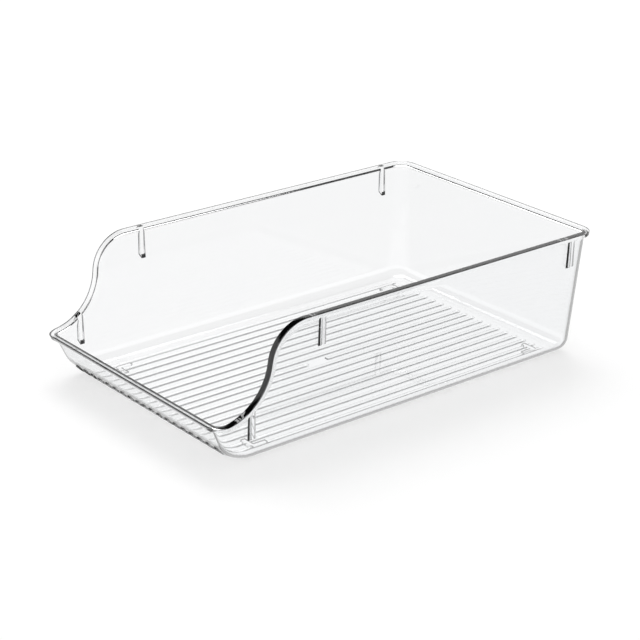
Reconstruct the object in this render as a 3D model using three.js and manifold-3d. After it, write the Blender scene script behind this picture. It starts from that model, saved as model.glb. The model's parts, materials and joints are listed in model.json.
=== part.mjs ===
// Clear can organizer: an open moulded tray whose side walls dip to a low front.
// Millimetres, +Z up, +Y to the back. The origin is on the table, under the middle.
// The one moulding is built whole, then divided along flat planes into its features.
import * as THREE from 'three';
import { mergeVertices } from 'three/addons/utils/BufferGeometryUtils.js';
import Module from 'manifold-3d';

// Overall sizes
const trayLength = 362;
const trayWidth = 225;
const trayHeight = 103;
const frontHeight = 37.5;

// Walls, floor and the curved edges between them
const wallThickness = 2;
const floorThickness = 2;
const wallDraft = THREE.MathUtils.degToRad(2.5);
const frontSlope = THREE.MathUtils.degToRad(24.5);
const baseRadius = 11.5;
const frontBaseRadius = 27.5;

// Corner radii in plan, on the outside of the wall
const frontCornerTopRadius = 9;
const frontCornerBaseRadius = 10;
const rearCornerTopRadius = 11;
const rearCornerBaseRadius = 16;
const smallestCornerRadius = 4;

// Rim
const rimOverhang = 3.5;
const rimThickness = 3;

// Dip of the side walls: a hollow arc above the front, then a round shoulder
const dipStart = 4.75;
const dipHollowRadius = 42;
const dipShoulderRadius = 30;

// Ribs under the floor, along the tray and up its front, and the smooth spot that interrupts one
const ribWidth = 4.6;
const ribHeight = 1;
const ribSink = 0.6;
const firstRibOffset = 8.5;
const ribPitch = 9.85;
const ribFrontHeight = 14;
const ribRearSetback = 27;
const smoothSpotStart = 168;
const smoothSpotLength = 17;

// Nesting lugs, outside the walls under the rim: on the hollow, behind the shoulder and at the rear
const frontLugRun = 26.75;
const middleLugSetback = 14.5;
const rearLugSetback = 26;
const lugWidth = 4;
const lugReach = 3.2;
const lugDrop = 26;
const lugBevel = 2.4;

// Feet under the corners of the floor
const footHeight = 3;
const footArm = 14;
const footWidth = 4;
const footCornerRadius = 4;
const sideFootSetback = 26.3;
const frontFootSetback = 47.6;
const rearFootSetback = 31.9;

// Planes that divide the moulding into its features
const ribEdgeMargin = 0.7;
const edgeTop = 17.5;
const frontWallDepth = 22;
const rearWallDepth = 24;

// Mesh fineness and the overrun of every cut
const cornerSteps = 6;
const edgeSteps = 6;
const arcSegments = 7;
const overrun = 10;
const leastLevelGap = 0.4;

// Colour and finish of the clear plastic
const clearPlastic = { color: 0xeef1f4, roughness: 0.06, metalness: 0, transparent: true, opacity: 0.3 };

const wasm = await Module();
wasm.setup();

const frontLip = -trayLength / 2;
const rearLip = trayLength / 2;

// Solids
function toSolid(geometry) {
  const bare = geometry.clone();
  bare.deleteAttribute('normal');
  bare.deleteAttribute('uv');
  const merged = mergeVertices(bare);
  const vertProperties = new Float32Array(merged.attributes.position.array);
  const triVerts = new Uint32Array(merged.index.array);
  return new wasm.Manifold(new wasm.Mesh({ numProp: 3, vertProperties, triVerts }));
}

function toGeometry(solid) {
  const mesh = solid.getMesh();
  const geometry = new THREE.BufferGeometry();
  geometry.setAttribute('position', new THREE.BufferAttribute(mesh.vertProperties, mesh.numProp));
  geometry.setIndex(new THREE.BufferAttribute(mesh.triVerts, 1));
  geometry.computeVertexNormals();
  return geometry;
}

function block(low, high) {
  const size = high.clone().sub(low);
  const geometry = new THREE.BoxGeometry(size.x, size.y, size.z);
  geometry.translate(...low.clone().add(high).multiplyScalar(1 / 2).toArray());
  return toSolid(geometry);
}

// Outlines in Y and Z are extruded across the tray, and outlines in X and Z along it
const acrossTray = new THREE.Matrix4().makeBasis(
  new THREE.Vector3(0, 1, 0), new THREE.Vector3(0, 0, 1), new THREE.Vector3(1, 0, 0));
const alongTray = new THREE.Matrix4().makeBasis(
  new THREE.Vector3(1, 0, 0), new THREE.Vector3(0, 0, 1), new THREE.Vector3(0, -1, 0));

function extruded(shape, depth, basis) {
  const options = { depth, bevelEnabled: false, curveSegments: arcSegments };
  const geometry = new THREE.ExtrudeGeometry(shape, options);
  if (basis) {
    geometry.applyMatrix4(basis);
  }
  return geometry;
}

// Wall lines: how far the wall lies inside the lip, at each height
function edgeLine(radius, slope, topInset, topHeight, bottom) {
  const tangentHeight = bottom + radius * (1 - Math.sin(slope));
  const straightInset = (height) => topInset + Math.tan(slope) * (topHeight - height);
  const centreInset = straightInset(tangentHeight) + radius * Math.cos(slope);
  const inset = (height) => {
    if (height >= tangentHeight) {
      return straightInset(height);
    }
    const rise = bottom + radius - height;
    return centreInset - Math.sqrt(Math.max(radius ** 2 - rise ** 2, 0));
  };
  return { radius, slope, bottom, tangentHeight, centreInset, straightInset, inset };
}

// A skin is a surface parallel to the outside of the wall, by a growth outwards
function parallelSkin(growth, bottom) {
  const topInset = (slope) => rimOverhang - growth / Math.cos(slope);
  const side = edgeLine(baseRadius + growth, wallDraft, topInset(wallDraft), trayHeight, bottom);
  const front = edgeLine(frontBaseRadius + growth, frontSlope, topInset(frontSlope), frontHeight, bottom);
  return { side, front, growth, bottom };
}

// The lip stands as steep at the front as it does at the sides
function lipSkin() {
  const side = edgeLine(baseRadius, wallDraft, 0, trayHeight, footHeight);
  const front = edgeLine(baseRadius, wallDraft, 0, frontHeight, footHeight);
  return { side, front, growth: rimOverhang, bottom: footHeight };
}

const outerSkin = parallelSkin(0, footHeight);
const innerSkin = parallelSkin(-wallThickness, footHeight + floorThickness);

function frontCornerRadius(skin, height) {
  const share = THREE.MathUtils.clamp((height - footHeight) / (frontHeight - footHeight), 0, 1);
  return THREE.MathUtils.lerp(frontCornerBaseRadius, frontCornerTopRadius, share) + skin.growth;
}

function rearCornerRadius(skin, height) {
  const baseTop = skin.side.tangentHeight;
  const share = THREE.MathUtils.clamp((height - baseTop) / (trayHeight - baseTop), 0, 1);
  const drawnIn = skin.side.inset(height) - skin.side.straightInset(height);
  const rolled = THREE.MathUtils.lerp(rearCornerBaseRadius, rearCornerTopRadius, share) - drawnIn;
  return Math.max(rolled, smallestCornerRadius) + skin.growth;
}

// One level ring of a skin: four rounded corners, counterclockwise from above
function ring(skin, height) {
  const halfWidth = trayWidth / 2 - skin.side.inset(height);
  const front = frontLip + skin.front.inset(height);
  const rear = rearLip - skin.side.inset(height);
  const frontRadius = frontCornerRadius(skin, height);
  const rearRadius = rearCornerRadius(skin, height);
  const corners = [
    { x: halfWidth - frontRadius, y: front + frontRadius, radius: frontRadius, start: -Math.PI / 2 },
    { x: halfWidth - rearRadius, y: rear - rearRadius, radius: rearRadius, start: 0 },
    { x: rearRadius - halfWidth, y: rear - rearRadius, radius: rearRadius, start: Math.PI / 2 },
    { x: frontRadius - halfWidth, y: front + frontRadius, radius: frontRadius, start: Math.PI },
  ];
  const points = [];
  for (const corner of corners) {
    for (let step = 0; step <= cornerSteps; step += 1) {
      const angle = corner.start + (step / cornerSteps) * (Math.PI / 2);
      points.push(new THREE.Vector3(
        corner.x + corner.radius * Math.cos(angle), corner.y + corner.radius * Math.sin(angle), height));
    }
  }
  return points;
}

// Heights where a skin needs a ring: round its curved edges, then up the walls
function ringHeights(skin, top) {
  const heights = [skin.bottom];
  for (const edge of [skin.side, skin.front]) {
    const sweep = Math.PI / 2 - edge.slope;
    for (let step = 1; step <= edgeSteps; step += 1) {
      heights.push(edge.bottom + edge.radius * (1 - Math.cos((step / edgeSteps) * sweep)));
    }
  }
  heights.push(frontHeight, trayHeight, top);
  heights.sort((a, b) => a - b);
  return heights.filter((height, index) => index === 0 || height - heights[index - 1] > leastLevelGap);
}

function loft(skin, heights) {
  const rings = heights.map((height) => ring(skin, height));
  const count = rings[0].length;
  const positions = rings.flat().flatMap((point) => point.toArray());
  const bottomCentre = rings.length * count;
  const topCentre = bottomCentre + 1;
  positions.push(0, 0, heights[0], 0, 0, heights[heights.length - 1]);
  const index = [];
  for (let level = 0; level < rings.length - 1; level += 1) {
    for (let step = 0; step < count; step += 1) {
      const a = level * count + step;
      const b = level * count + ((step + 1) % count);
      index.push(a, b, b + count, a, b + count, a + count);
    }
  }
  const lastRing = (rings.length - 1) * count;
  for (let step = 0; step < count; step += 1) {
    const next = (step + 1) % count;
    index.push(bottomCentre, next, step, topCentre, lastRing + step, lastRing + next);
  }
  const geometry = new THREE.BufferGeometry();
  geometry.setAttribute('position', new THREE.Float32BufferAttribute(positions, 3));
  geometry.setIndex(index);
  return toSolid(geometry);
}

// Rim line, seen from the side: low front, hollow arc, shoulder arc, high top
const skyHeight = trayHeight + overrun;
const hollowCentre = { y: frontLip + dipStart, z: frontHeight + dipHollowRadius };
const shoulderHeight = trayHeight - dipShoulderRadius;
const centreSpan = dipHollowRadius + dipShoulderRadius;
const centreDrop = shoulderHeight - hollowCentre.z;
const centreRun = Math.sqrt(centreSpan ** 2 - centreDrop ** 2);
const shoulderCentre = { y: hollowCentre.y + centreRun, z: shoulderHeight };
const tangentAngle = Math.atan2(centreDrop, centreRun);

function traceRimLine(shape, drop, forwards) {
  const front = frontLip - overrun;
  const rear = rearLip + overrun;
  const hollow = [hollowCentre.y, hollowCentre.z, dipHollowRadius + drop];
  const shoulder = [shoulderCentre.y, shoulderCentre.z, dipShoulderRadius - drop];
  if (forwards) {
    shape.lineTo(front, frontHeight - drop);
    shape.lineTo(hollowCentre.y, frontHeight - drop);
    shape.absarc(...hollow, -Math.PI / 2, tangentAngle, false);
    shape.absarc(...shoulder, Math.PI + tangentAngle, Math.PI / 2, true);
    shape.lineTo(rear, trayHeight - drop);
  } else {
    shape.lineTo(rear, trayHeight - drop);
    shape.lineTo(shoulderCentre.y, trayHeight - drop);
    shape.absarc(...shoulder, Math.PI / 2, Math.PI + tangentAngle, false);
    shape.absarc(...hollow, tangentAngle, -Math.PI / 2, true);
    shape.lineTo(front, frontHeight - drop);
  }
}

function acrossSolid(shape) {
  const fullWidth = trayWidth + 2 * overrun;
  const geometry = extruded(shape, fullWidth, acrossTray);
  geometry.translate(-fullWidth / 2, 0, 0);
  return toSolid(geometry);
}

function spaceUnderRim() {
  const shape = new THREE.Shape();
  shape.moveTo(rearLip + overrun, -overrun);
  shape.lineTo(frontLip - overrun, -overrun);
  traceRimLine(shape, rimThickness, true);
  return acrossSolid(shape);
}

function rimBand() {
  const shape = new THREE.Shape();
  shape.moveTo(frontLip - overrun, frontHeight - rimThickness);
  traceRimLine(shape, rimThickness, true);
  traceRimLine(shape, 0, false);
  return acrossSolid(shape);
}

// Ribs under the floor: they follow its flat underside and the curved edge at the front
const flatFront = frontLip + outerSkin.front.centreInset;
const flatSide = trayWidth / 2 - outerSkin.side.centreInset;
const ribRear = rearLip - ribRearSetback;
const ribFrontAngle = Math.acos(1 - (ribFrontHeight - footHeight) / outerSkin.front.radius);
const ribFrontTip = flatFront - outerSkin.front.radius * Math.sin(ribFrontAngle);

function ribProfile() {
  const radius = outerSkin.front.radius;
  const centre = footHeight + radius;
  const startAngle = -Math.PI / 2;
  const endAngle = startAngle - ribFrontAngle;
  const shape = new THREE.Shape();
  shape.moveTo(ribRear + overrun, footHeight + ribSink);
  shape.lineTo(flatFront, footHeight + ribSink);
  shape.absarc(flatFront, centre, radius - ribSink, startAngle, endAngle, true);
  shape.absarc(flatFront, centre, radius + ribHeight, endAngle, startAngle, false);
  shape.lineTo(ribRear + overrun, footHeight - ribHeight);
  return acrossSolid(shape);
}

function ribTrack(x, front, rear) {
  const radius = ribWidth / 2;
  const shape = new THREE.Shape();
  shape.absarc(x, front + radius, radius, Math.PI, 2 * Math.PI, false);
  shape.absarc(x, rear - radius, radius, 0, Math.PI, false);
  return toSolid(extruded(shape, trayHeight, null));
}

// As many ribs on each side as the flat underside takes
const ribsPerSide = 1 + Math.floor((flatSide - ribWidth / 2 - firstRibOffset) / ribPitch);

function floorRibs() {
  let tracks = ribTrack(0, ribFrontTip, frontLip + smoothSpotStart);
  tracks = tracks.add(ribTrack(0, frontLip + smoothSpotStart + smoothSpotLength, ribRear));
  for (let number = 0; number < ribsPerSide; number += 1) {
    const offset = firstRibOffset + number * ribPitch;
    tracks = tracks.add(ribTrack(offset, ribFrontTip, ribRear));
    tracks = tracks.add(ribTrack(-offset, ribFrontTip, ribRear));
  }
  return ribProfile().intersect(tracks);
}

// Height of the rim's top at a place along the tray
function rimTop(y) {
  if (y >= shoulderCentre.y) {
    return trayHeight;
  }
  const tangentY = hollowCentre.y + dipHollowRadius * Math.cos(tangentAngle);
  if (y >= tangentY) {
    return shoulderCentre.z + Math.sqrt(dipShoulderRadius ** 2 - (y - shoulderCentre.y) ** 2);
  }
  return hollowCentre.z - Math.sqrt(dipHollowRadius ** 2 - Math.max(y - hollowCentre.y, 0) ** 2);
}

// Nesting lug, outside one side wall
const lugPlaces = {
  front: hollowCentre.y + frontLugRun,
  middle: shoulderCentre.y + middleLugSetback,
  rear: rearLip - rearLugSetback,
};

function nestingLug(side, place) {
  const top = rimTop(place);
  const wall = trayWidth / 2 - outerSkin.side.inset(top);
  const tip = wall + lugReach;
  const bottom = top - lugDrop;
  const shape = new THREE.Shape();
  shape.moveTo(side * (wall - overrun), top + overrun);
  shape.lineTo(side * tip, top + overrun);
  shape.lineTo(side * tip, bottom + lugBevel);
  shape.lineTo(side * (trayWidth / 2 - outerSkin.side.inset(bottom)), bottom);
  shape.lineTo(side * (wall - overrun), bottom);
  const geometry = extruded(shape, lugWidth, alongTray);
  geometry.translate(0, place + lugWidth / 2, 0);
  return toSolid(geometry);
}

// L-shaped foot under one corner of the floor
function cornerFoot(side, end) {
  const cornerX = side * (trayWidth / 2 - sideFootSetback);
  const cornerY = end > 0 ? rearLip - rearFootSetback : frontLip + frontFootSetback;
  const turn = Math.PI / 2;
  const place = (along, across) => [cornerX - side * along, cornerY - end * across];
  const shape = new THREE.Shape();
  const roundCentre = place(footCornerRadius, footCornerRadius);
  const startAngle = side > 0 ? 0 : Math.PI;
  const clockwise = side * end < 0;
  shape.moveTo(...place(0, footArm));
  shape.absarc(...roundCentre, footCornerRadius, startAngle, end * turn, clockwise);
  shape.lineTo(...place(footArm, 0));
  shape.lineTo(...place(footArm, footWidth));
  shape.lineTo(...place(footWidth, footWidth));
  shape.lineTo(...place(footWidth, footArm));
  return toSolid(extruded(shape, innerSkin.bottom, null));
}

// The moulding, below its rim and in its rim
const outside = loft(outerSkin, ringHeights(outerSkin, skyHeight));
const cavity = loft(innerSkin, ringHeights(innerSkin, skyHeight));
const lipHeights = [frontHeight - rimThickness - overrun, frontHeight, trayHeight, skyHeight];
const underRim = spaceUnderRim();
const ribs = floorRibs();
const basin = outside.subtract(cavity).intersect(underRim).add(ribs);
const rim = loft(lipSkin(), lipHeights).intersect(rimBand()).subtract(cavity);

// Division planes
const leftEnd = -trayWidth / 2 - overrun;
const rightEnd = trayWidth / 2 + overrun;
const frontEnd = frontLip - overrun;
const rearEnd = rearLip + overrun;
const ribFieldSide = firstRibOffset + (ribsPerSide - 1) * ribPitch + ribWidth / 2 + ribEdgeMargin;
const frontWallEnd = frontLip + frontWallDepth;
const rearPlane = rearLip - rearWallDepth;

function region(xLow, xHigh, yLow, yHigh, zLow, zHigh) {
  return block(new THREE.Vector3(xLow, yLow, zLow), new THREE.Vector3(xHigh, yHigh, zHigh));
}

const organizer = new THREE.Group();

function addNode(name, solid) {
  const material = new THREE.MeshStandardMaterial(clearPlastic);
  const mesh = new THREE.Mesh(toGeometry(solid), material);
  mesh.name = name;
  organizer.add(mesh);
}

function addFloor() {
  const floorPart = (...limits) => basin.intersect(region(...limits, 0, edgeTop));
  addNode('floor_panel', floorPart(-ribFieldSide, ribFieldSide, flatFront, rearPlane));
  addNode('left_floor_edge', floorPart(leftEnd, -ribFieldSide, flatFront, rearPlane));
  addNode('right_floor_edge', floorPart(ribFieldSide, rightEnd, flatFront, rearPlane));
  addNode('front_floor_edge', floorPart(leftEnd, rightEnd, frontEnd, flatFront));
  addNode('rear_floor_edge', floorPart(leftEnd, rightEnd, rearPlane, rearEnd));
}

function addWalls() {
  const wallPart = (...limits) => basin.intersect(region(...limits, edgeTop, skyHeight));
  addNode('front_wall', wallPart(leftEnd, rightEnd, frontEnd, frontWallEnd));
  addNode('rear_wall', wallPart(leftEnd, rightEnd, rearPlane, rearEnd));
  addNode('left_wall', wallPart(leftEnd, 0, frontWallEnd, rearPlane));
  addNode('right_wall', wallPart(0, rightEnd, frontWallEnd, rearPlane));
}

function addRims() {
  const rimPart = (...limits) => rim.intersect(region(...limits, edgeTop, skyHeight));
  addNode('front_rim', rimPart(leftEnd, rightEnd, frontEnd, frontWallEnd));
  addNode('rear_rim', rimPart(leftEnd, rightEnd, rearPlane, rearEnd));
  addNode('left_rim', rimPart(leftEnd, 0, frontWallEnd, rearPlane));
  addNode('right_rim', rimPart(0, rightEnd, frontWallEnd, rearPlane));
}

const sides = { left: -1, right: 1 };

function addLugs() {
  for (const [sideName, side] of Object.entries(sides)) {
    for (const [placeName, place] of Object.entries(lugPlaces)) {
      const lug = nestingLug(side, place).intersect(underRim).subtract(outside);
      addNode(`${sideName}_${placeName}_lug`, lug);
    }
  }
}

function addFeet() {
  const ends = { front: -1, rear: 1 };
  for (const [sideName, side] of Object.entries(sides)) {
    for (const [endName, end] of Object.entries(ends)) {
      const foot = cornerFoot(side, end).subtract(outside).subtract(ribs);
      addNode(`${sideName}_${endName}_foot`, foot);
    }
  }
}

addFloor();
addWalls();
addRims();
addLugs();
addFeet();

export default organizer;
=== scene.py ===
"""Clear can organizer: one seamless moulding of clear plastic, built over its CAD frame.

Metres, +Z up, +Y from the low front to the high back. The origin is on the table, under the middle.
"""

import json
import math

import bmesh
import bpy
from bpy.props import FloatProperty, FloatVectorProperty, IntProperty, PointerProperty
from mathutils import Matrix, Vector

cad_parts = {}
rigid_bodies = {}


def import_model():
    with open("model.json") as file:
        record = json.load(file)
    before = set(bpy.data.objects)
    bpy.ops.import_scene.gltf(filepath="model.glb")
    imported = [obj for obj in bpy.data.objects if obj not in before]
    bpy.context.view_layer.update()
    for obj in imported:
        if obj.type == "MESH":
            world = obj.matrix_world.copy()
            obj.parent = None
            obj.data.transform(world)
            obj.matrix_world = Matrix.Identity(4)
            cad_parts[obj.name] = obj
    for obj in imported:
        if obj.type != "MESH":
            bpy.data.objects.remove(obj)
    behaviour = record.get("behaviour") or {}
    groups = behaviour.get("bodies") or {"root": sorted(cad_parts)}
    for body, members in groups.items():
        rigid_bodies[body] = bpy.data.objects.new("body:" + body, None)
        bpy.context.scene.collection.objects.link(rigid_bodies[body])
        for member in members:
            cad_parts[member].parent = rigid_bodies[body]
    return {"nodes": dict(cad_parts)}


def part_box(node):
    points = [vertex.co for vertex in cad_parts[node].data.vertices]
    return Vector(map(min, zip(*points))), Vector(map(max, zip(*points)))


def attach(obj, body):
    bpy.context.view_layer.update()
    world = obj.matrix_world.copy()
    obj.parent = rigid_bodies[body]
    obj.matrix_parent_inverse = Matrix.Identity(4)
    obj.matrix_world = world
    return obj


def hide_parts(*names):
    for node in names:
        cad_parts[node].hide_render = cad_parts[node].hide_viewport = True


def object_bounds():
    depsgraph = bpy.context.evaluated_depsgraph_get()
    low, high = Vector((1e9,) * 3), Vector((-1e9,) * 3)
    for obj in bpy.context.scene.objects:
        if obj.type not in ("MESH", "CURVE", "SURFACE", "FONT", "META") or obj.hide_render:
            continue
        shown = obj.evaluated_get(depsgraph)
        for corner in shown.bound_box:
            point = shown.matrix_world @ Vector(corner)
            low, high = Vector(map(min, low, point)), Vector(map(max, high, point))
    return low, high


bl_info = {
    "name": "Can Organizer",
    "version": (1, 0, 0),
    "blender": (4, 5, 0),
    "location": "View3D > Sidebar > Organizer",
    "description": "Builds a clear can organizer with its ribs, nesting lugs and feet",
    "category": "Add Mesh",
}

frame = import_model()
CAD_LOW, CAD_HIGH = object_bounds()
BODY = "root"
MM = 0.001

RIM_THICKNESS = 3 * MM
RIB_HEIGHT = 1.0 * MM
# The frame is in single precision, so the height is rounded to a micrometre
HEIGHT_DIGITS = 6
FLOOR_BOTTOM = round(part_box("floor_panel")[0].z + RIB_HEIGHT, HEIGHT_DIGITS)
FLOOR_THICKNESS = 2.0 * MM
FRONT_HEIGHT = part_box("front_rim")[0].z + RIM_THICKNESS


def length(name, description, default):
    return FloatProperty(name=name, description=description, default=default, unit="LENGTH", precision=5)


def angle(name, description, degrees):
    return FloatProperty(
        name=name, description=description, default=math.radians(degrees), subtype="ANGLE"
    )


def share(name, description, default):
    return FloatProperty(
        name=name, description=description, default=default, min=0, max=1, subtype="FACTOR"
    )


def tint(name, description, default):
    return FloatVectorProperty(
        name=name, description=description, default=default, size=3, min=0, max=1, subtype="COLOR"
    )


def whole(name, description, default):
    return IntProperty(name=name, description=description, default=default, min=1)


class TraySizes(bpy.types.PropertyGroup):
    tray_length: length("Length", "From the front lip to the rear lip", CAD_HIGH.y - CAD_LOW.y)
    tray_width: length("Width", "From lip to lip across the tray", CAD_HIGH.x - CAD_LOW.x)
    tray_height: length("Height", "From the table to the high rim", CAD_HIGH.z)
    front_height: length("Front height", "From the table to the low rim", FRONT_HEIGHT)
    floor_bottom: length("Floor bottom", "Underside of the floor above the table", FLOOR_BOTTOM)
    wall: length("Wall", "Thickness of the walls", 2 * MM)
    floor: length("Floor", "Thickness of the floor", FLOOR_THICKNESS)
    wall_draft: angle("Wall draft", "Slope of the side and rear walls from upright", 2.5)
    front_slope: angle("Front slope", "Slope of the front wall from upright", 24.5)
    base_radius: length("Base radius", "Curved edge between floor and side walls", 11.5 * MM)
    front_base_radius: length("Front base radius", "Curved edge between floor and front", 27.5 * MM)
    front_corner_top: length("Front corner, top", "Radius seen from above", 9 * MM)
    front_corner_base: length("Front corner, base", "Radius seen from above", 10 * MM)
    rear_corner_top: length("Rear corner, top", "Radius seen from above", 11 * MM)
    rear_corner_base: length("Rear corner, base", "Radius seen from above", 16 * MM)
    smallest_corner: length("Smallest corner", "Least corner radius near the floor", 4 * MM)
    dip_start: length("Dip start", "Where the rim starts to rise, behind the lip", 4.75 * MM)
    dip_hollow: length("Dip hollow", "Radius of the hollow arc of the rim", 42 * MM)
    dip_shoulder: length("Dip shoulder", "Radius of the round shoulder of the rim", 30 * MM)


class RimSizes(bpy.types.PropertyGroup):
    overhang: length("Overhang", "How far the rim stands out past the wall", 3.5 * MM)
    thickness: length("Thickness", "Height of the rim's outer face", RIM_THICKNESS)
    fillet: length("Fillet", "Hollow under the rim, outside the wall", 3 * MM)
    front_fillet: length("Front fillet", "The same hollow under the front rim", 0.5 * MM)
    edge: length("Edge", "Rounding of the rim's outer edges", 0.4 * MM)
    inner_edge: length("Inner edge", "Rounding of the rim's inner edge", 0.15 * MM)


class RibSizes(bpy.types.PropertyGroup):
    width: length("Width", "Width of a rib at the floor", 4.6 * MM)
    height: length("Height", "How far a rib stands down from the floor", RIB_HEIGHT)
    sink: length("Sink", "How deep a rib reaches into the floor", 0.6 * MM)
    flank: length("Flank", "How much a rib narrows to its edge, on each side", 0.5 * MM)
    rounding: length("Rounding", "Rounding of a rib's edges", 0.1 * MM)
    first: length("First place", "Middle of the rib beside the middle one", 8.5 * MM)
    pitch: length("Pitch", "From rib to rib", 9.85 * MM)
    count: whole("Count", "Ribs on each side of the middle one", 9)
    top: length("Front height", "Height that the ribs climb to at the front", 14 * MM)
    rear_setback: length("Rear setback", "From the ribs' rear ends to the rear lip", 27 * MM)
    spot_start: length("Smooth spot", "Start of the gap in the middle rib, behind the lip", 168 * MM)
    spot_length: length("Smooth spot length", "Length of the gap in the middle rib", 17 * MM)


class LugSizes(bpy.types.PropertyGroup):
    width: length("Width", "Width along the wall", 4 * MM)
    reach: length("Reach", "How far a lug stands out from the wall", 3.2 * MM)
    drop: length("Drop", "From the rim's top to the lug's bottom", 26 * MM)
    bevel: length("Bevel", "Slope under a lug", 2.4 * MM)
    rounding: length("Rounding", "Rounding of a lug's edges", 0.4 * MM)
    front_run: length("Front lug", "Behind the start of the dip", 26.75 * MM)
    middle_setback: length("Middle lug", "Behind the end of the shoulder", 14.5 * MM)
    rear_setback: length("Rear lug", "In front of the rear lip", 26 * MM)


class FootSizes(bpy.types.PropertyGroup):
    arm: length("Arm", "Length of each arm of a foot", 14 * MM)
    width: length("Width", "Width of a foot", 4 * MM)
    corner: length("Corner", "Outer corner radius of a foot", 4 * MM)
    side_setback: length("Side setback", "From a foot to the side lip", 26.3 * MM)
    front_setback: length("Front setback", "From a front foot to the front lip", 47.6 * MM)
    rear_setback: length("Rear setback", "From a rear foot to the rear lip", 31.9 * MM)
    rounding: length("Rounding", "Rounding of a foot's lower edges", 0.3 * MM)


class PlasticLook(bpy.types.PropertyGroup):
    clear_tint: tint("Clear tint", "Colour of the plastic where it is clearest", (0.993, 0.996, 0.999))
    deep_tint: tint("Deep tint", "Colour of the plastic where it is deepest", (0.982, 0.988, 0.994))
    bend: FloatProperty(name="Index of refraction", description="Of clear moulded plastic", default=1.57)
    least_haze: share("Least haze", "Roughness of the polished surface", 0.0)
    most_haze: share("Most haze", "Roughness of the dullest marks", 0.01)
    ripple_size: length("Ripple size", "From ripple to ripple of the surface", 40 * MM)
    ripple_depth: length("Ripple depth", "Depth of the ripples", 0.005 * MM)
    mark_size: length("Mark size", "Size of the faint dull marks", 4 * MM)


class StageSettings(bpy.types.PropertyGroup):
    azimuth: angle("Azimuth", "Of the camera, from the front towards the right", 50.387)
    elevation: angle("Elevation", "Of the camera above the horizon", 22.676)
    roll: angle("Roll", "Of the camera about its own axis", 0.79)
    distance: length("Distance", "From the camera to the point it looks at", 1.4697)
    lens: FloatProperty(name="Lens", description="Focal length in millimetres", default=108.034)
    aim: FloatVectorProperty(
        name="Aim", description="Point that the camera looks at", size=3,
        default=(0.0021, -0.0029, 0.0390), subtype="XYZ", unit="LENGTH", precision=5,
    )
    floor_size: length("Floor size", "Side of the square floor", 12.0)
    floor_colour: tint("Floor colour", "Colour of the floor under the soft light", (0.42, 0.42, 0.42))
    floor_glow: FloatProperty(
        name="Floor glow", description="Added for the camera, so that the floor is white", default=0.64
    )
    soft_light: FloatProperty(
        name="Soft light", description="Strength of the light from all around", default=0.6
    )
    lamp_power: FloatProperty(
        name="Lamp power", description="Power of the large lamp", default=30.0, unit="POWER"
    )
    lamp_side: length("Lamp size", "Side of the large square lamp", 1.6)
    lamp_place: FloatVectorProperty(
        name="Lamp place", description="Middle of the large lamp", size=3,
        default=(-1.1, 0.6, 2.2), subtype="XYZ", unit="LENGTH",
    )
    steep_start: share("Steep start", "Rise of a ray above which the room grows dark", 0.4)
    steep_end: share("Steep end", "Rise of a ray from which the room is dark", 0.58)
    dark_level: share("Dark level", "Strength of the dark part of the room", 0.03)
    # Painted shade: how much darker the floor is made to rays mirrored inside the plastic, not a shadow
    # from any lamp
    mirrored_painted_shade: share("Mirror dark", "How much darker the floor is, mirrored inside the plastic", 0.6)


SENSOR = 36
COVE_STEPS = 18
CORNER_STEPS = 14
END_WALL_STEPS = 6
STRAIGHT_STEPS = 10
DIP_STEPS = 44
EDGE_STEPS = 4
FILLET_STEPS = 8
END_STEPS = 5
RING_BEHIND_END = 1.2
LEAST_END_SHARE = 0.12
ROUNDING_POINTS = 2
ROUNDING_SEGMENTS = 3
SINK_SHARE = 0.5
LUG_TOP_SHARE = 0.7
CREASE_DEGREES = 30
MARKS_START = 0.5
MARKS_END = 0.8
TURN = "turn"
SHELL = "tray_shell"
RIGHT_RIBS = "right_ribs"
LEFT_RIBS = "left_ribs"
MIDDLE_RIB = "middle_rib"
LUGS = "nesting_lugs"
FEET = "corner_feet"
TRAY = "clear_tray"
COPIES = "Turned Copies"
PLASTIC = "clear_moulding"
WALL_SHARES = (0.03, 0.3, 0.65, 0.97)
FLOOR_WIDTH_SHARE = 0.985
FLOOR_LENGTH_SHARE = 0.99
DIP_BLEND = 12 * MM
RIM_TRIES = 4
NEAR = 0.1 * MM
ROUND_PROFILE = 0.5
RIPPLE_DETAIL = 1.0
MARK_DETAIL = 4.0


class EdgeLine:
    """How far a wall lies inside the lip at each height: a curved edge, then a straight slope."""

    def __init__(self, radius, slope, top_inset, top_height, bottom):
        self.radius = radius
        self.slope = slope
        self.top_inset = top_inset
        self.top_height = top_height
        self.bottom = bottom
        self.tangent_height = bottom + radius * (1 - math.sin(slope))
        self.centre_inset = self.straight(self.tangent_height) + radius * math.cos(slope)

    def straight(self, z):
        return self.top_inset + math.tan(self.slope) * (self.top_height - z)

    def inset(self, z):
        if z >= self.tangent_height:
            return self.straight(z)
        rise = self.bottom + self.radius - z
        return self.centre_inset - math.sqrt(max(self.radius**2 - rise**2, 0))

    def cove_height(self, share):
        return self.bottom + self.radius * (1 - math.cos(share * (math.pi / 2 - self.slope)))


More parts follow.
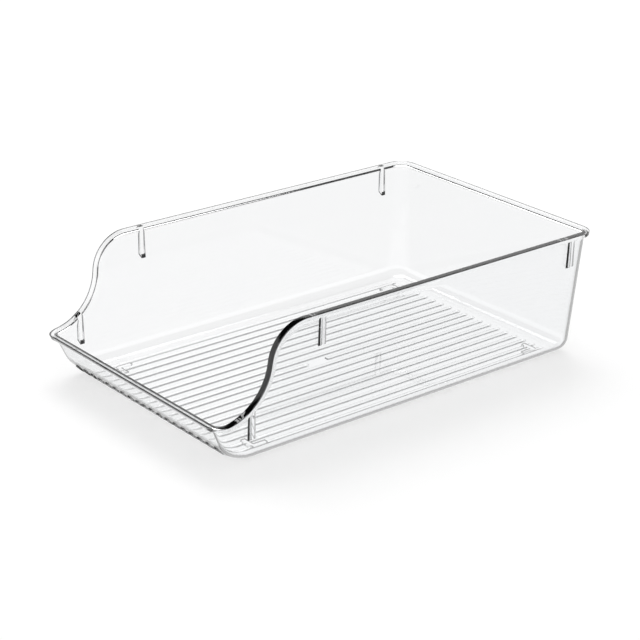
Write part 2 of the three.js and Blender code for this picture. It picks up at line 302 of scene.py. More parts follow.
class Skin:
    """A surface beside the outside of the wall, by a growth outwards."""

    def __init__(self, sizes, rim, growth, bottom):
        self.sizes = sizes
        self.growth = growth

        def edge(radius, slope, top_height):
            thickened = growth if growth > 0 else growth / math.cos(slope)
            inset = rim.overhang - thickened
            return EdgeLine(radius + min(growth, 0), slope, inset, top_height, bottom)

        self.side = edge(sizes.base_radius, sizes.wall_draft, sizes.tray_height)
        self.front = edge(sizes.front_base_radius, sizes.front_slope, sizes.front_height)

    def outline(self, z):
        """Half width, front and rear, and the corner radii, at a height."""
        s = self.sizes
        half_width = s.tray_width / 2 - self.side.inset(z)
        front = -s.tray_length / 2 + self.front.inset(z)
        rear = s.tray_length / 2 - self.side.inset(z)
        front_share = (z - s.floor_bottom) / (s.front_height - s.floor_bottom)
        front_share = min(max(front_share, 0), 1)
        front_radius = s.front_corner_base + (s.front_corner_top - s.front_corner_base) * front_share
        rear_share = (z - self.side.tangent_height) / (s.tray_height - self.side.tangent_height)
        rear_share = min(max(rear_share, 0), 1)
        drawn_in = self.side.inset(z) - self.side.straight(z)
        rear_radius = s.rear_corner_base + (s.rear_corner_top - s.rear_corner_base) * rear_share
        rear_radius = max(rear_radius - drawn_in, s.smallest_corner)
        return half_width, front, rear, front_radius + self.growth, rear_radius + self.growth


class RimLine:
    """The rim seen from the side: low front, hollow arc, round shoulder, high top."""

    def __init__(self, sizes):
        self.low = sizes.front_height
        self.high = sizes.tray_height
        self.hollow_radius = sizes.dip_hollow
        self.shoulder_radius = sizes.dip_shoulder
        self.hollow_y = -sizes.tray_length / 2 + sizes.dip_start
        self.hollow_z = self.low + self.hollow_radius
        self.shoulder_z = self.high - self.shoulder_radius
        span = self.hollow_radius + self.shoulder_radius
        drop = self.shoulder_z - self.hollow_z
        run = math.sqrt(span**2 - drop**2)
        self.shoulder_y = self.hollow_y + run
        self.tangent_angle = math.atan2(drop, run)

    def height(self, y, drop=0.0):
        """Height of the line at a place, lowered squarely to itself by a drop."""
        if y <= self.hollow_y:
            return self.low - drop
        tangent_y = self.hollow_y + (self.hollow_radius + drop) * math.cos(self.tangent_angle)
        if y <= tangent_y:
            radius = self.hollow_radius + drop
            return self.hollow_z - math.sqrt(radius**2 - (y - self.hollow_y) ** 2)
        if y < self.shoulder_y:
            radius = self.shoulder_radius - drop
            reach = min(self.shoulder_y - y, radius)
            return self.shoulder_z + math.sqrt(radius**2 - reach**2)
        return self.high - drop

    def dip_points(self, start_y, steps):
        """Points along the dip, with the direction from the wall to the air."""
        start_angle = -math.acos(min(max((start_y - self.hollow_y) / self.hollow_radius, -1), 1))
        hollow_sweep = self.tangent_angle - start_angle
        shoulder_sweep = math.pi / 2 + self.tangent_angle
        hollow_length = hollow_sweep * self.hollow_radius
        total = hollow_length + shoulder_sweep * self.shoulder_radius
        found = []
        for step in range(1, steps + 1):
            run = total * step / steps
            if run <= hollow_length:
                turn = start_angle + run / self.hollow_radius
                out = Vector((math.cos(turn), math.sin(turn)))
                centre = Vector((self.hollow_y, self.hollow_z))
                found.append((centre + out * self.hollow_radius, -out))
            else:
                turn = math.pi + self.tangent_angle - (run - hollow_length) / self.shoulder_radius
                out = Vector((math.cos(turn), math.sin(turn)))
                centre = Vector((self.shoulder_y, self.shoulder_z))
                found.append((centre + out * self.shoulder_radius, out))
        return found


def rim_section(sizes, rim, front_weight):
    """Outline of the rim, as pairs of growth past the wall and drop below the rim's top."""
    points = []
    fillet = rim.fillet + (rim.front_fillet - rim.fillet) * front_weight
    for step in range(FILLET_STEPS + 1):
        turn = step / FILLET_STEPS * math.pi / 2
        points.append((fillet * (1 - math.cos(turn)), rim.thickness + fillet * (1 - math.sin(turn))))
    edge, inner_edge = rim.edge, rim.inner_edge
    rounds = (
        (rim.overhang - edge, rim.thickness - edge, edge, math.pi / 2),
        (rim.overhang - edge, edge, edge, 0.0),
        (inner_edge - sizes.wall, inner_edge, inner_edge, -math.pi / 2),
    )
    for growth, drop, radius, start in rounds:
        for step in range(EDGE_STEPS + 1):
            turn = start - step / EDGE_STEPS * math.pi / 2
            points.append((growth + radius * math.cos(turn), drop + radius * math.sin(turn)))
    points.append((-sizes.wall, rim.thickness + fillet))
    return points


class Column:
    """One line of the shell's mesh from the floor up to the rim."""

    def __init__(self, kind, share, front_weight, rim_point=None, air=None):
        self.kind = kind
        self.share = share
        self.front_weight = front_weight
        self.rim_point = rim_point
        self.air = air

    def level_point(self, skin, z):
        half_width, front, rear, front_radius, rear_radius = skin.outline(z)
        if self.kind == "front":
            return Vector((self.share * (half_width - front_radius), front, z))
        if self.kind == "front_corner":
            turn = (self.share - 1) * math.pi / 2
            x = half_width - front_radius + front_radius * math.cos(turn)
            return Vector((x, front + front_radius + front_radius * math.sin(turn), z))
        if self.kind == "side":
            start, end = front + front_radius, rear - rear_radius
            return Vector((half_width, start + (end - start) * self.share, z))
        if self.kind == "rear_corner":
            turn = self.share * math.pi / 2
            x = half_width - rear_radius + rear_radius * math.cos(turn)
            return Vector((x, rear - rear_radius + rear_radius * math.sin(turn), z))
        return Vector(((1 - self.share) * (half_width - rear_radius), rear, z))

    def cove_height(self, skin, share):
        side = skin.side.cove_height(share)
        return side + (skin.front.cove_height(share) - side) * self.front_weight

    def rim_place(self, skin, line, drop):
        """A point near the rim, at a drop measured squarely to the rim's line."""
        if self.kind in ("rear_corner", "rear"):
            return self.level_point(skin, line.high - drop)
        if self.kind in ("front", "front_corner"):
            z = line.low - drop
            for _ in range(RIM_TRIES):
                z = line.height(self.level_point(skin, z).y, drop)
            return self.level_point(skin, z)
        place = self.rim_point - self.air * drop
        y, z = place
        corner = Column("front_corner", 1, 0).rim_place(skin, line, drop)
        start = Column("front_corner", 1, 0).rim_place(skin, line, 0)
        run = self.rim_point.x - start.y
        # Smooth step from the corner's place to the dip's own
        blend = min(max(run / DIP_BLEND, 0), 1)
        blend = blend * blend * (3 - 2 * blend)
        if blend < 1:
            y = (corner.y + run) * (1 - blend) + y * blend
            z = line.height(y, drop)
        half_width = skin.outline(z)[0]
        return Vector((half_width, y, z))


def shell_columns(sizes, rim, line):
    """Columns of the right half, from the middle of the front to the middle of the rear."""
    columns = [Column("front", step / END_WALL_STEPS, 1) for step in range(END_WALL_STEPS)]
    for step in range(CORNER_STEPS + 1):
        share = step / CORNER_STEPS
        columns.append(Column("front_corner", share, 1 - share))
    wall = Skin(sizes, rim, 0, sizes.floor_bottom)
    _, front, _, front_radius, _ = wall.outline(sizes.front_height)
    start = front + front_radius
    _, _, rear, _, rear_radius = wall.outline(sizes.tray_height)
    end = rear - rear_radius
    rim_points = line.dip_points(start, DIP_STEPS)
    shoulder_end = rim_points[-1][0].x
    for step in range(1, STRAIGHT_STEPS):
        y = shoulder_end + (end - shoulder_end) * step / STRAIGHT_STEPS
        rim_points.append((Vector((y, line.high)), Vector((0, 1))))
    for place, air in rim_points:
        share = (place.x - start) / (end - start)
        columns.append(Column("side", share, 0, place, air))
    for step in range(CORNER_STEPS + 1):
        columns.append(Column("rear_corner", step / CORNER_STEPS, 0))
    for step in range(1, END_WALL_STEPS + 1):
        columns.append(Column("rear", step / END_WALL_STEPS, 0))
    return columns


def shell_rows(sizes, rim, line, column):
    """Points of one column, from the outer floor over the rim to the inner floor."""
    outer = Skin(sizes, rim, 0, sizes.floor_bottom)
    inner = Skin(sizes, rim, -sizes.wall, sizes.floor_bottom + sizes.floor)
    section = rim_section(sizes, rim, column.front_weight)

    def lower_rows(skin, drop):
        flat = column.level_point(skin, skin.side.bottom)
        inward = Vector((flat.x * FLOOR_WIDTH_SHARE, flat.y * FLOOR_LENGTH_SHARE, flat.z))
        rows = [inward]
        for step in range(COVE_STEPS + 1):
            rows.append(column.level_point(skin, column.cove_height(skin, step / COVE_STEPS)))
        bottom = rows[-1]
        top = column.rim_place(skin, line, drop)
        for share in WALL_SHARES:
            z = bottom.z + (top.z - bottom.z) * share
            if column.kind == "side":
                y = bottom.y + (top.y - bottom.y) * share
                rows.append(Vector((skin.outline(z)[0], y, z)))
            else:
                rows.append(column.level_point(skin, z))
        return rows

    rows = lower_rows(outer, section[0][1])
    for growth, drop in section:
        skin = Skin(sizes, rim, growth, sizes.floor_bottom)
        rows.append(column.rim_place(skin, line, drop))
    rows.extend(reversed(lower_rows(inner, section[-1][1])))
    return rows


def build_shell(sizes, rim):
    """The tray without ribs, lugs and feet, as one closed mesh."""
    line = RimLine(sizes)
    right = [shell_rows(sizes, rim, line, column) for column in shell_columns(sizes, rim, line)]
    mirrored = [[Vector((-p.x, p.y, p.z)) for p in rows] for rows in reversed(right[1:-1])]
    loops = right + mirrored
    mesh = bmesh.new()
    grid = [[mesh.verts.new(point) for point in rows] for rows in loops]
    count = len(grid)
    for index in range(count):
        this, following = grid[index], grid[(index + 1) % count]
        for row in range(len(this) - 1):
            mesh.faces.new((this[row], following[row], following[row + 1], this[row + 1]))
    mesh.faces.new([rows[0] for rows in reversed(grid)])
    mesh.faces.new([rows[-1] for rows in grid])
    bmesh.ops.recalc_face_normals(mesh, faces=mesh.faces)
    return mesh


def link_mesh(name, mesh):
    data = bpy.data.meshes.new(name)
    mesh.to_mesh(data)
    mesh.free()
    made = bpy.data.objects.new(name, data)
    bpy.context.scene.collection.objects.link(made)
    return made


# Node helpers
def new_tree(name, inputs):
    """A Geometry Nodes tree with a geometry input and output and the named inputs."""
    tree = bpy.data.node_groups.new(name, "GeometryNodeTree")
    tree.interface.new_socket("Geometry", in_out="INPUT", socket_type="NodeSocketGeometry")
    tree.interface.new_socket("Geometry", in_out="OUTPUT", socket_type="NodeSocketGeometry")
    for label, kind in inputs:
        tree.interface.new_socket(label, in_out="INPUT", socket_type="NodeSocket" + kind)
    return tree


def end_tree(tree, instances, material):
    """Makes instances real, gives them a material and puts them out."""
    solid = add_node(tree, "GeometryNodeRealizeInstances", Geometry=instances)
    painted = add_node(
        tree, "GeometryNodeSetMaterial", Geometry=solid.outputs[0], Material=material
    )
    tree.links.new(painted.outputs[0], tree.nodes.new("NodeGroupOutput").inputs[0])
    return tree


def feed(tree, socket, value):
    """Links a socket to another, or sets its value."""
    if isinstance(value, bpy.types.NodeSocket):
        tree.links.new(value, socket)
    else:
        socket.default_value = value


def in_use(sockets, name):
    """The socket of that name that the node's settings have switched on."""
    return next(socket for socket in sockets if socket.name == name and socket.enabled)


def add_node(tree, kind, settings=None, **values):
    """A node with its settings and its inputs, named with _ for a space."""
    node = tree.nodes.new(kind)
    for key, value in (settings or {}).items():
        setattr(node, key, value)
    for key, value in values.items():
        feed(tree, in_use(node.inputs, key.replace("_", " ")), value)
    return node


def add_math(tree, operation, *values):
    """The result of a Math node on these values or sockets."""
    node = tree.nodes.new("ShaderNodeMath")
    node.operation = operation
    for socket, value in zip(node.inputs, values):
        feed(tree, socket, value)
    return node.outputs[0]


def apply_tree(target, tree, **values):
    """Runs a tree on an object and leaves its result as a plain mesh."""
    modifier = target.modifiers.new(tree.name, "NODES")
    modifier.node_group = tree
    sockets = {s.name: s.identifier for s in tree.interface.items_tree if s.in_out == "INPUT"}
    for key, value in values.items():
        modifier[sockets[key.replace("_", " ")]] = value
    return bake(target)


def bake(target):
    """A mesh object with what the target's modifiers make; the target is removed."""
    bpy.context.view_layer.update()
    evaluated = target.evaluated_get(bpy.context.evaluated_depsgraph_get())
    data = bpy.data.meshes.new_from_object(evaluated)
    name = target.name
    bpy.data.objects.remove(target)
    made = bpy.data.objects.new(name, data)
    data.name = name
    bpy.context.scene.collection.objects.link(made)
    return made


def path_curve(name, paths):
    """A curve object of poly lines; each point is a place and a radius share."""
    data = bpy.data.curves.new(name, "CURVE")
    data.dimensions = "3D"
    for path in paths:
        spline = data.splines.new("POLY")
        spline.points.add(len(path) - 1)
        for point, (place, share) in zip(spline.points, path):
            point.co = (*place, 1)
            point.radius = share
    made = bpy.data.objects.new(name, data)
    bpy.context.scene.collection.objects.link(made)
    return made


# Ribs, lugs and feet
def floor_path(sizes, rim, ribs, front, rear):
    """Path of a rib under the floor, with round ends; None takes it up the front, or to the rear."""
    edge = Skin(sizes, rim, 0, sizes.floor_bottom).front
    bottom = edge.bottom
    flat_front = -sizes.tray_length / 2 + edge.centre_inset
    places = []
    if front is None:
        radius = edge.radius
        climb = math.acos(1 - (ribs.top - bottom) / radius)
        for step in range(COVE_STEPS, 0, -1):
            turn = climb * step / COVE_STEPS
            y = flat_front - radius * math.sin(turn)
            places.append(Vector((0, y, bottom + radius * (1 - math.cos(turn)))))
        front = flat_front
    if rear is None:
        rear = sizes.tray_length / 2 - ribs.rear_setback
    places.append(Vector((0, front, bottom)))
    places.append(Vector((0, rear, bottom)))
    return round_ends(places, ribs.width / 2)


def round_ends(places, radius):
    """Adds points near both ends, with shares of the full width that make the ends round."""
    runs = [0.0]
    for before, after in zip(places, places[1:]):
        runs.append(runs[-1] + (after - before).length)
    total = runs[-1]

    def at(run):
        for index in range(1, len(runs)):
            if run <= runs[index] or index == len(runs) - 1:
                share = (run - runs[index - 1]) / (runs[index] - runs[index - 1])
                return places[index - 1].lerp(places[index], share)

    marks = {run for run in runs if radius < run < total - radius}
    # A full ring close behind each round end keeps the end's shading off the straight run
    marks.update((radius * RING_BEHIND_END, total - radius * RING_BEHIND_END))
    for step in range(END_STEPS + 1):
        turn = math.pi / 2 * step / END_STEPS
        marks.add(radius * (1 - math.cos(turn)))
        marks.add(total - radius * (1 - math.cos(turn)))
    path = []
    for run in sorted(marks):
        short = max(radius - min(run, total - run), 0)
        share = math.sqrt(max(1 - (short / radius) ** 2, 0))
        path.append((at(run), max(share, LEAST_END_SHARE)))
    return path


def rib_tree():
    """Sweeps a rounded trapezium along the paths and repeats it across the tray."""
    tree = new_tree("Floor Ribs", (
        ("Count", "Int"), ("First", "Float"), ("Pitch", "Float"), ("Root Width", "Float"),
        ("Edge Width", "Float"), ("Height", "Float"), ("Sink", "Float"), ("Rounding", "Float"),
        ("Material", "Material"),
    ))
    given = tree.nodes.new("NodeGroupInput").outputs
    depth = add_math(tree, "ADD", given["Height"], given["Sink"])
    drop = add_math(tree, "MULTIPLY", add_math(tree, "SUBTRACT", given["Height"], given["Sink"]), 0.5)
    # The sweep turns the section's +Y down, so its upper side becomes the free edge of the rib
    section = add_node(
        tree, "GeometryNodeCurvePrimitiveQuadrilateral", {"mode": "TRAPEZOID"},
        Bottom_Width=given["Root Width"], Top_Width=given["Edge Width"], Height=depth, Offset=0.0,
    )
    rounded = add_node(
        tree, "GeometryNodeFilletCurve", {"mode": "POLY"}, Curve=section.outputs[0],
        Radius=given["Rounding"], Count=ROUNDING_POINTS, Limit_Radius=True,
    )
    place = add_node(tree, "ShaderNodeCombineXYZ", Y=drop)
    lowered = add_node(
        tree, "GeometryNodeTransform", Geometry=rounded.outputs[0], Translation=place.outputs[0]
    )
    share = tree.nodes.new("GeometryNodeInputRadius")
    swept = add_node(
        tree, "GeometryNodeCurveToMesh", Curve=given["Geometry"], Profile_Curve=lowered.outputs[0],
        Scale=share.outputs[0], Fill_Caps=True,
    )
    start = add_node(tree, "ShaderNodeCombineXYZ", X=given["First"])
    step = add_node(tree, "ShaderNodeCombineXYZ", X=given["Pitch"])
    row = add_node(
        tree, "GeometryNodeMeshLine", {"mode": "OFFSET"}, Count=given["Count"],
        Start_Location=start.outputs[0], Offset=step.outputs[0],
    )
    copies = add_node(
        tree, "GeometryNodeInstanceOnPoints", Points=row.outputs[0], Instance=swept.outputs[0]
    )
    return end_tree(tree, copies.outputs[0], given["Material"])


def make_ribs(scene):
    """The right, left and middle runs of ribs; the middle one leaves the smooth spot bare."""
    sizes, rim, ribs = scene.tray_sizes, scene.rim_sizes, scene.rib_sizes
    narrowing = ribs.flank * ribs.sink / ribs.height
    shared = {
        "Root_Width": ribs.width + 2 * narrowing,
        "Edge_Width": ribs.width - 2 * ribs.flank,
        "Height": ribs.height,
        "Sink": ribs.sink,
        "Rounding": ribs.rounding,
        "Material": clear_plastic(scene.plastic_look),
    }
    whole_path = floor_path(sizes, rim, ribs, None, None)
    spot = ribs.spot_start - sizes.tray_length / 2
    split_paths = [
        floor_path(sizes, rim, ribs, None, spot),
        floor_path(sizes, rim, ribs, spot + ribs.spot_length, None),
    ]
    tree = rib_tree()
    right = path_curve(RIGHT_RIBS, [whole_path])
    apply_tree(right, tree, Count=ribs.count, First=ribs.first, Pitch=ribs.pitch, **shared)
    left = path_curve(LEFT_RIBS, [whole_path])
    apply_tree(left, tree, Count=ribs.count, First=-ribs.first, Pitch=-ribs.pitch, **shared)
    middle = path_curve(MIDDLE_RIB, split_paths)
    apply_tree(middle, tree, Count=1, First=0.0, Pitch=0.0, **shared)


def copies_tree():
    """Sets a piece on every point of a mesh, turned about Z by the point's own turn; made once."""
    if COPIES in bpy.data.node_groups:
        return bpy.data.node_groups[COPIES]
    tree = new_tree(COPIES, (("Piece", "Object"), ("Material", "Material")))
    given = tree.nodes.new("NodeGroupInput").outputs
    piece = add_node(tree, "GeometryNodeObjectInfo", Object=given["Piece"])
    turn = add_node(tree, "GeometryNodeInputNamedAttribute", {"data_type": "FLOAT"}, Name=TURN)
    rotation = add_node(tree, "ShaderNodeCombineXYZ", Z=turn.outputs["Attribute"])
    copies = add_node(
        tree, "GeometryNodeInstanceOnPoints", Points=given["Geometry"],
        Instance=piece.outputs["Geometry"], Rotation=rotation.outputs[0],
    )
    return end_tree(tree, copies.outputs[0], given["Material"])


def make_copies(name, piece, places, look):
    """Copies of a piece at places, each a point and a turn about Z, as one mesh."""
    data = bpy.data.meshes.new(name)
    data.from_pydata([place for place, _ in places], [], [])
    turns = data.attributes.new(TURN, "FLOAT", "POINT")
    turns.data.foreach_set("value", [turn for _, turn in places])
    target = bpy.data.objects.new(name, data)
    bpy.context.scene.collection.objects.link(target)
    apply_tree(target, copies_tree(), Piece=piece, Material=clear_plastic(look))
    bpy.data.objects.remove(piece)


def prism(outline, direction, rounding, is_rounded):
    """A closed solid: a flat outline pushed along a direction, with some of its edges rounded."""
    mesh = bmesh.new()
    near = [mesh.verts.new(point) for point in outline]
    far = [mesh.verts.new(point + direction) for point in outline]
    mesh.faces.new(near)
    mesh.faces.new(list(reversed(far)))
    for index in range(len(near)):
        following = (index + 1) % len(near)
        mesh.faces.new((near[following], near[index], far[index], far[following]))
    bmesh.ops.recalc_face_normals(mesh, faces=mesh.faces)
    chosen = [edge for edge in mesh.edges if is_rounded(edge)]
    bmesh.ops.bevel(
        mesh, geom=chosen, offset=rounding, segments=ROUNDING_SEGMENTS, profile=ROUND_PROFILE,
        affect="EDGES", clamp_overlap=True,
    )
    return mesh


def make_lugs(scene):
    """Nesting lugs outside the side walls, from inside the rim down to a sloped end."""
    sizes, rim, lugs = scene.tray_sizes, scene.rim_sizes, scene.lug_sizes
    line = RimLine(sizes)
    wall = Skin(sizes, rim, 0, sizes.floor_bottom).side
    half_width = sizes.tray_width / 2
    top = -rim.thickness * LUG_TOP_SHARE
    bottom = -lugs.drop
    inside = sizes.wall * SINK_SHARE
    drawn_in = math.tan(sizes.wall_draft) * lugs.drop
    side = -lugs.width / 2
    outline = [
        Vector((-inside, side, top)),
        Vector((lugs.reach, side, top)),
        Vector((lugs.reach, side, bottom + lugs.bevel)),
        Vector((-drawn_in, side, bottom)),
        Vector((-drawn_in - inside, side, bottom)),
    ]

    def is_outer(edge):
        """Whether an edge lies outside the wall and reaches below the lug's top."""
        across = [vertex.co.x for vertex in edge.verts]
        lowest = min(vertex.co.z for vertex in edge.verts)
        return min(across) > -drawn_in - NEAR and max(across) > 0 and lowest < top - NEAR

    lug = link_mesh("lug", prism(outline, Vector((0, lugs.width, 0)), lugs.rounding, is_outer))
    places = []
    for y in (
        line.hollow_y + lugs.front_run,
        line.shoulder_y + lugs.middle_setback,
        sizes.tray_length / 2 - lugs.rear_setback,
    ):
        z = line.height(y)
        x = half_width - wall.inset(z)
        places.append((Vector((x, y, z)), 0.0))
        places.append((Vector((-x, y, z)), math.pi))
    make_copies(LUGS, lug, places, scene.plastic_look)


def make_feet(scene):
    """L-shaped feet under the corners of the floor."""
    sizes, feet = scene.tray_sizes, scene.foot_sizes
    arm, width, corner = feet.arm, feet.width, feet.corner
    outline = [Vector((0, -arm, 0))]
    for step in range(CORNER_STEPS + 1):
        turn = math.pi / 2 * step / CORNER_STEPS
        outline.append(Vector((corner * (math.cos(turn) - 1), corner * (math.sin(turn) - 1), 0)))
    outline.append(Vector((-arm, 0, 0)))
    outline.append(Vector((-arm, -width, 0)))
    outline.append(Vector((-width, -width, 0)))
    outline.append(Vector((-width, -arm, 0)))
    height = sizes.floor_bottom + sizes.floor * SINK_SHARE
    mesh = prism(
        outline, Vector((0, 0, height)), feet.rounding,
        lambda edge: max(vertex.co.z for vertex in edge.verts) < height / 2,
    )
    foot = link_mesh("foot", mesh)
    x = sizes.tray_width / 2 - feet.side_setback
    front = -sizes.tray_length / 2 + feet.front_setback
    rear = sizes.tray_length / 2 - feet.rear_setback
    quarter = math.pi / 2
    places = [
        (Vector((x, rear, 0)), 0.0),
        (Vector((-x, rear, 0)), quarter),
        (Vector((-x, front, 0)), 2 * quarter),
        (Vector((x, front, 0)), 3 * quarter),
    ]
    make_copies(FEET, foot, places, scene.plastic_look)


def fuse(shell, parts):
    """One closed moulding of the shell and all its parts."""
    for part in parts:
        modifier = shell.modifiers.new(part.name, "BOOLEAN")
        modifier.operation = "UNION"
        modifier.solver = "MANIFOLD"
        modifier.object = part
    made = bake(shell)
    for part in parts:
        bpy.data.objects.remove(part)
    return made


def finish_surface(piece, material):
    """One material, and smooth shading between faces that meet at less than the crease angle."""
    data = piece.data
    data.materials.clear()
    data.materials.append(material)
    data.polygons.foreach_set("material_index", [0] * len(data.polygons))
    data.polygons.foreach_set("use_smooth", [True] * len(data.polygons))
    data.set_sharp_from_angle(angle=math.radians(CREASE_DEGREES))


# Clear plastic
def surface_group():
    """Colour, haze and ripple of a polished moulding, as they change over its surface."""
    tree = bpy.data.node_groups.new("Polished Moulding", "ShaderNodeTree")
    for label, kind in (
        ("Position", "Vector"), ("Ripple Size", "Float"), ("Mark Size", "Float"),
        ("Clear Tint", "Color"), ("Deep Tint", "Color"), ("Least Haze", "Float"),
        ("Most Haze", "Float"),
    ):
        tree.interface.new_socket(label, in_out="INPUT", socket_type="NodeSocket" + kind)
    for label, kind in (("Color", "Color"), ("Roughness", "Float"), ("Height", "Float")):
        tree.interface.new_socket(label, in_out="OUTPUT", socket_type="NodeSocket" + kind)
    given = tree.nodes.new("NodeGroupInput").outputs
    result = tree.nodes.new("NodeGroupOutput").inputs
    ripple_scale = add_math(tree, "DIVIDE", 1.0, given["Ripple Size"])
    ripple = add_node(
        tree, "ShaderNodeTexNoise", Vector=given["Position"], Scale=ripple_scale,
        Detail=RIPPLE_DETAIL,
    )
    mark_scale = add_math(tree, "DIVIDE", 1.0, given["Mark Size"])
    marks = add_node(
        tree, "ShaderNodeTexNoise", Vector=given["Position"], Scale=mark_scale,
        Detail=MARK_DETAIL,
    )
    tint = add_node(
        tree, "ShaderNodeMix", {"data_type": "RGBA"}, Factor=ripple.outputs["Fac"],
        A=given["Clear Tint"], B=given["Deep Tint"],
    )
    haze = add_node(
        tree, "ShaderNodeMapRange", Value=marks.outputs["Fac"], From_Min=MARKS_START,
        From_Max=MARKS_END, To_Min=given["Least Haze"], To_Max=given["Most Haze"],
    )
    tree.links.new(in_use(tint.outputs, "Result"), result["Color"])
    tree.links.new(haze.outputs["Result"], result["Roughness"])
    tree.links.new(ripple.outputs["Fac"], result["Height"])
    return tree


def clear_plastic(look):
    """Clear, polished, slightly blue plastic, made once."""
    if PLASTIC in bpy.data.materials:
        return bpy.data.materials[PLASTIC]
    material = bpy.data.materials.new(PLASTIC)
    material.use_nodes = True
    tree = material.node_tree
    shader = tree.nodes["Principled BSDF"]
    shader.inputs["Transmission Weight"].default_value = 1.0
    shader.inputs["IOR"].default_value = look.bend
    surface = tree.nodes.new("ShaderNodeGroup")
    surface.node_tree = surface_group()
    feed(tree, surface.inputs["Position"], tree.nodes.new("ShaderNodeTexCoord").outputs["Object"])
    surface.inputs["Ripple Size"].default_value = look.ripple_size
    surface.inputs["Mark Size"].default_value = look.mark_size
    surface.inputs["Clear Tint"].default_value = (*look.clear_tint, 1)
    surface.inputs["Deep Tint"].default_value = (*look.deep_tint, 1)
    surface.inputs["Least Haze"].default_value = look.least_haze
    surface.inputs["Most Haze"].default_value = look.most_haze
    bump = add_node(
        tree, "ShaderNodeBump", Strength=1.0, Distance=look.ripple_depth,
        Height=surface.outputs["Height"],
    )
    tree.links.new(surface.outputs["Color"], shader.inputs["Base Color"])
    tree.links.new(surface.outputs["Roughness"], shader.inputs["Roughness"])
    tree.links.new(bump.outputs[0], shader.inputs["Normal"])
    return material


# Stage
def looked_at(tree):
    """1 where the camera looks, straight or through and off clear and shiny things, else 0."""
    path = tree.nodes.new("ShaderNodeLightPath").outputs
    bent = add_math(tree, "MAXIMUM", path["Is Glossy Ray"], path["Is Transmission Ray"])
    return path["Is Camera Ray"], bent


def floor_material(settings):
    """Pale floor: keeps the object's shadow for the camera, and is white through the plastic.

    It has painted shade for rays that the plastic has both bent and mirrored: it is darker to them, so
    that edges show.
    """
    material = bpy.data.materials.new("pale_floor")
    material.use_nodes = True
    tree = material.node_tree
    tree.nodes.remove(tree.nodes["Principled BSDF"])
    seen, bent = looked_at(tree)
    diffuse = add_node(tree, "ShaderNodeBsdfDiffuse", Color=(*settings.floor_colour, 1))
    glow = add_node(
        tree, "ShaderNodeEmission", Strength=add_math(tree, "MULTIPLY", seen, settings.floor_glow)
    )
    lit = tree.nodes.new("ShaderNodeAddShader")
    tree.links.new(diffuse.outputs[0], lit.inputs[0])
    tree.links.new(glow.outputs[0], lit.inputs[1])
    # Painted shade: the floor is darker to rays that the plastic has both bent and mirrored
    path = tree.nodes.new("ShaderNodeLightPath").outputs
    mirrored = add_math(tree, "MULTIPLY", path["Glossy Depth"], path["Transmission Depth"])
    mirrored = add_math(tree, "MINIMUM", mirrored, 1.0)
    dark = add_math(tree, "MULTIPLY", mirrored, settings.mirrored_painted_shade)
    white = add_node(
        tree, "ShaderNodeEmission", Strength=add_math(tree, "SUBTRACT", 1.0, dark)
    )
    either = tree.nodes.new("ShaderNodeMixShader")
    tree.links.new(bent, either.inputs[0])
    tree.links.new(lit.outputs[0], either.inputs[1])
    tree.links.new(white.outputs[0], either.inputs[2])
    tree.links.new(either.outputs[0], tree.nodes["Material Output"].inputs["Surface"])
    return material


def make_floor(settings):
    half = settings.floor_size / 2
    mesh = bmesh.new()
    corners = [(-half, -half), (half, -half), (half, half), (-half, half)]
    mesh.faces.new([mesh.verts.new((x, y, 0)) for x, y in corners])
    floor = link_mesh("floor", mesh)
    floor.data.materials.append(floor_material(settings))


def make_world(settings):
    """Soft light from all around, seen as plain white, and dark above for the plastic's edges."""
    world = bpy.data.worlds.new("studio")
    world.use_nodes = True
    tree = world.node_tree
    seen, bent = looked_at(tree)
    rise = add_node(
        tree, "ShaderNodeSeparateXYZ",
        Vector=tree.nodes.new("ShaderNodeTexCoord").outputs["Generated"],
    )
    room = add_node(
        tree, "ShaderNodeMapRange", {"interpolation_type": "SMOOTHSTEP"}, Value=rise.outputs["Z"],
        From_Min=settings.steep_start, From_Max=settings.steep_end,
        To_Min=1.0, To_Max=settings.dark_level,
    )
    shown = add_math(tree, "MULTIPLY", bent, room.outputs["Result"])
    rest = add_math(tree, "SUBTRACT", 1.0, add_math(tree, "MAXIMUM", seen, bent))
    soft = add_math(tree, "MULTIPLY", rest, settings.soft_light)
    strength = add_math(tree, "ADD", add_math(tree, "MAXIMUM", seen, shown), soft)
    tree.links.new(strength, tree.nodes["Background"].inputs["Strength"])
    tree.nodes["Background"].inputs["Color"].default_value = (1, 1, 1, 1)
    bpy.context.scene.world = world


def make_lamp(settings):
    """Large square lamp that faces the object."""
    data = bpy.data.lights.new("large_lamp", "AREA")
    data.shape = "SQUARE"
    data.size = settings.lamp_side
    data.energy = settings.lamp_power
    lamp = bpy.data.objects.new("large_lamp", data)
    place = Vector(settings.lamp_place)
    lamp.location = place
    lamp.rotation_euler = place.to_track_quat("Z", "Y").to_euler()
    # The flat floor would mirror the lamp as a white patch that hides the ribs
    lamp.visible_glossy = False
    bpy.context.scene.collection.objects.link(lamp)


def make_camera(settings):
    data = bpy.data.cameras.new("camera")
    data.lens = settings.lens
    data.sensor_width = SENSOR
    turn, rise, roll = settings.azimuth, settings.elevation, settings.roll
    back = Vector((
        math.sin(turn) * math.cos(rise), -math.cos(turn) * math.cos(rise), math.sin(rise)
    ))
    level = Vector((math.cos(turn), math.sin(turn), 0))
    upright = back.cross(level)
    side = level * math.cos(roll) + upright * math.sin(roll)
    up = upright * math.cos(roll) - level * math.sin(roll)
    matrix = Matrix((side, up, back)).transposed().to_4x4()
    matrix.translation = Vector(settings.aim) + back * settings.distance
    camera = bpy.data.objects.new("camera", data)
    camera.matrix_world = matrix
    bpy.context.scene.collection.objects.link(camera)
    bpy.context.scene.camera = camera


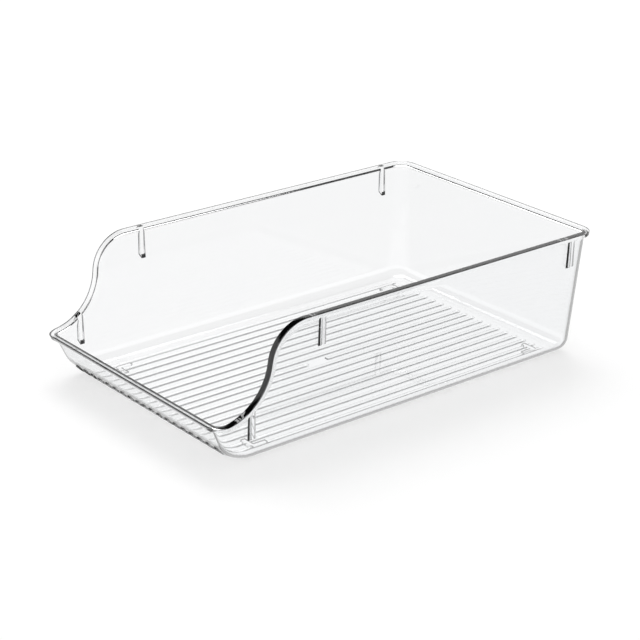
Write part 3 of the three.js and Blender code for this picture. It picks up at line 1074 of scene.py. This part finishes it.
# Operators, panel and registration
class OBJECT_OT_organizer_shell(bpy.types.Operator):
    """Build the floor, the walls and the rim as one closed shell"""
    bl_idname = "object.organizer_shell"
    bl_label = "Tray Shell"

    def execute(self, context):
        scene = context.scene
        shell = link_mesh(SHELL, build_shell(scene.tray_sizes, scene.rim_sizes))
        shell.data.materials.append(clear_plastic(scene.plastic_look))
        return {"FINISHED"}


class OBJECT_OT_organizer_ribs(bpy.types.Operator):
    """Lay the ribs under the floor and up the front"""
    bl_idname = "object.organizer_ribs"
    bl_label = "Ribs under the Floor"

    def execute(self, context):
        make_ribs(context.scene)
        return {"FINISHED"}


class OBJECT_OT_organizer_lugs(bpy.types.Operator):
    """Set the nesting lugs under the rim"""
    bl_idname = "object.organizer_lugs"
    bl_label = "Nesting Lugs"

    def execute(self, context):
        make_lugs(context.scene)
        return {"FINISHED"}


class OBJECT_OT_organizer_feet(bpy.types.Operator):
    """Set the feet under the corners"""
    bl_idname = "object.organizer_feet"
    bl_label = "Corner Feet"

    def execute(self, context):
        make_feet(context.scene)
        return {"FINISHED"}


class OBJECT_OT_organizer_moulding(bpy.types.Operator):
    """Fuse the shell, ribs, lugs and feet into one clear moulding"""
    bl_idname = "object.organizer_moulding"
    bl_label = "Clear Moulding"

    def execute(self, context):
        objects = bpy.data.objects
        parts = [objects[name] for name in (RIGHT_RIBS, LEFT_RIBS, MIDDLE_RIB, LUGS, FEET)]
        tray = fuse(objects[SHELL], parts)
        tray.name = TRAY
        tray.data.name = TRAY
        finish_surface(tray, clear_plastic(context.scene.plastic_look))
        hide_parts(*frame["nodes"])
        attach(tray, BODY)
        return {"FINISHED"}


class OBJECT_OT_organizer_stage(bpy.types.Operator):
    """Set the pale floor, the soft studio light and the camera"""
    bl_idname = "object.organizer_stage"
    bl_label = "Stage"

    def execute(self, context):
        settings = context.scene.stage_settings
        make_floor(settings)
        make_world(settings)
        make_lamp(settings)
        make_camera(settings)
        context.scene.view_settings.view_transform = "Standard"
        return {"FINISHED"}


GROUPS = {
    "tray_sizes": TraySizes,
    "rim_sizes": RimSizes,
    "rib_sizes": RibSizes,
    "lug_sizes": LugSizes,
    "foot_sizes": FootSizes,
    "plastic_look": PlasticLook,
    "stage_settings": StageSettings,
}
OPERATORS = (
    OBJECT_OT_organizer_shell,
    OBJECT_OT_organizer_ribs,
    OBJECT_OT_organizer_lugs,
    OBJECT_OT_organizer_feet,
    OBJECT_OT_organizer_moulding,
    OBJECT_OT_organizer_stage,
)


class VIEW3D_PT_organizer(bpy.types.Panel):
    bl_label = "Can Organizer"
    bl_idname = "VIEW3D_PT_organizer"
    bl_space_type = "VIEW_3D"
    bl_region_type = "UI"
    bl_category = "Organizer"

    def draw(self, context):
        for operator in OPERATORS:
            self.layout.operator(operator.bl_idname)
        for name, group in GROUPS.items():
            box = self.layout.box()
            box.label(text=name.replace("_", " ").capitalize())
            for setting in group.__annotations__:
                box.prop(getattr(context.scene, name), setting)


CLASSES = (*GROUPS.values(), *OPERATORS, VIEW3D_PT_organizer)


def register():
    for kind in CLASSES:
        bpy.utils.register_class(kind)
    for name, group in GROUPS.items():
        setattr(bpy.types.Scene, name, PointerProperty(type=group))


def unregister():
    for name in GROUPS:
        delattr(bpy.types.Scene, name)
    for kind in reversed(CLASSES):
        bpy.utils.unregister_class(kind)


def main():
    register()
    bpy.ops.object.organizer_shell()
    bpy.ops.object.organizer_ribs()
    bpy.ops.object.organizer_lugs()
    bpy.ops.object.organizer_feet()
    bpy.ops.object.organizer_moulding()
    bpy.ops.object.organizer_stage()


if __name__ == "__main__":
    main()
